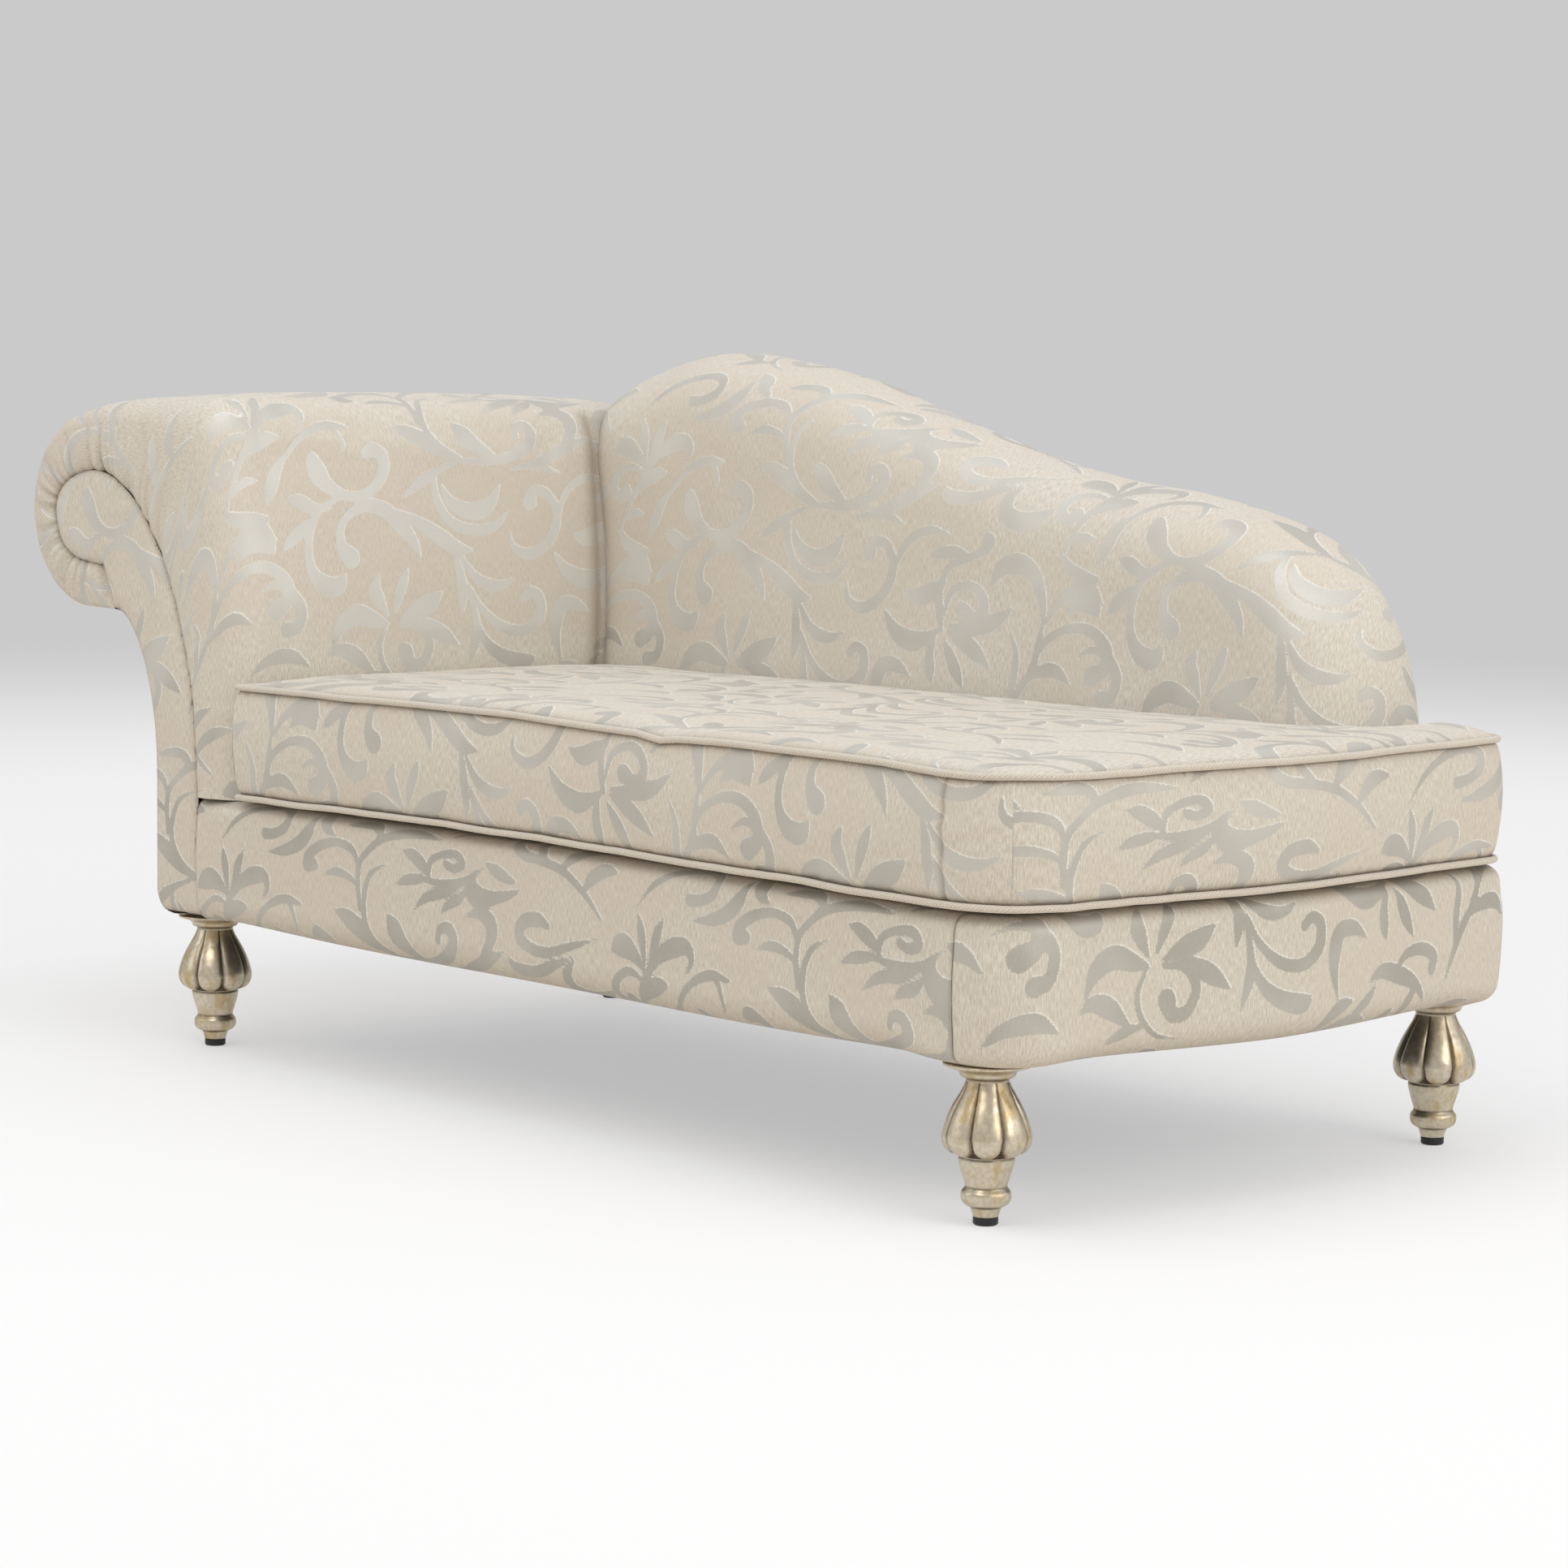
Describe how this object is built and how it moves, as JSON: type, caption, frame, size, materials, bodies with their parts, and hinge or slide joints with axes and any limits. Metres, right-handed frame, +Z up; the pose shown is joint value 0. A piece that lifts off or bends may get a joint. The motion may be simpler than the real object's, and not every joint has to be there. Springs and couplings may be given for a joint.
{
  "type": "recamier",
  "caption": "Upholstered chaise with one scroll arm, a serpentine back along part of its length, a loose boxed seat cushion and turned feet carved with lobes.",
  "frame": {"origin": "the middle of the whole object's footprint, on the floor", "axes": "+X along the seat from the scroll arm to the open end, +Y from the open front to the back, +Z up"},
  "size_m": [1.794, 0.799, 0.8411],
  "materials": {
    "damask_cover": "matte",
    "piping_cloth": "matte",
    "beech": "matte",
    "jute_webbing": "matte",
    "black_cloth": "matte",
    "silver_leaf": "satin",
    "black_nylon": "matte",
    "zinc_steel": "satin"
  },
  "bodies": {
    "frame": {"arm_board_front": "beech", "arm_board_rear": "beech", "arm_front_facing": "damask_cover", "arm_inner_rail": "beech", "arm_outer_panel": "damask_cover", "arm_pad": "damask_cover", "arm_rail": "beech", "arm_rear_facing": "damask_cover", "arm_roll_rail": "beech", "back_bottom_rail_left": "beech", "back_bottom_rail_right": "beech", "back_left_stile": "beech", "back_middle_stile": "beech", "back_pad": "damask_cover", "back_rear_panel": "damask_cover", "back_right_stile": "beech", "back_top_rail": "beech", "base_end_panel": "damask_cover", "base_front_panel": "damask_cover", "base_rear_panel": "damask_cover", "corner_post_front_left": "beech", "corner_post_front_right": "beech", "corner_post_rear_left": "beech", "corner_post_rear_right": "beech", "deck_pad": "damask_cover", "dust_cover": "black_cloth", "end_rail": "beech", "foot_bolt_front_left": "zinc_steel", "foot_bolt_front_right": "zinc_steel", "foot_bolt_rear_left": "zinc_steel", "foot_bolt_rear_right": "zinc_steel", "foot_front_left": "silver_leaf", "foot_front_right": "silver_leaf", "foot_plate_front_left": "zinc_steel", "foot_plate_front_right": "zinc_steel", "foot_plate_rear_left": "zinc_steel", "foot_plate_rear_right": "zinc_steel", "foot_rear_left": "silver_leaf", "foot_rear_right": "silver_leaf", "front_rail": "beech", "glide_front_left": "black_nylon", "glide_front_right": "black_nylon", "glide_rear_left": "black_nylon", "glide_rear_right": "black_nylon", "rear_rail": "beech", "seat_brace": "beech", "webbing_cross_1": "jute_webbing", "webbing_cross_2": "jute_webbing", "webbing_cross_3": "jute_webbing", "webbing_cross_4": "jute_webbing", "webbing_cross_5": "jute_webbing", "webbing_cross_6": "jute_webbing", "webbing_cross_7": "jute_webbing", "webbing_cross_8": "jute_webbing", "webbing_long_1": "jute_webbing", "webbing_long_2": "jute_webbing"},
    "cushion": {"seat_cushion": "damask_cover", "cushion_piping_top": "piping_cloth", "cushion_piping_bottom": "piping_cloth"}
  },
  "joints": [
    {"name": "cushion_lift", "type": "slide", "parent": "frame", "child": "cushion", "axis": [0, 0, 1], "range_m": [0, 0.56]}
  ]
}
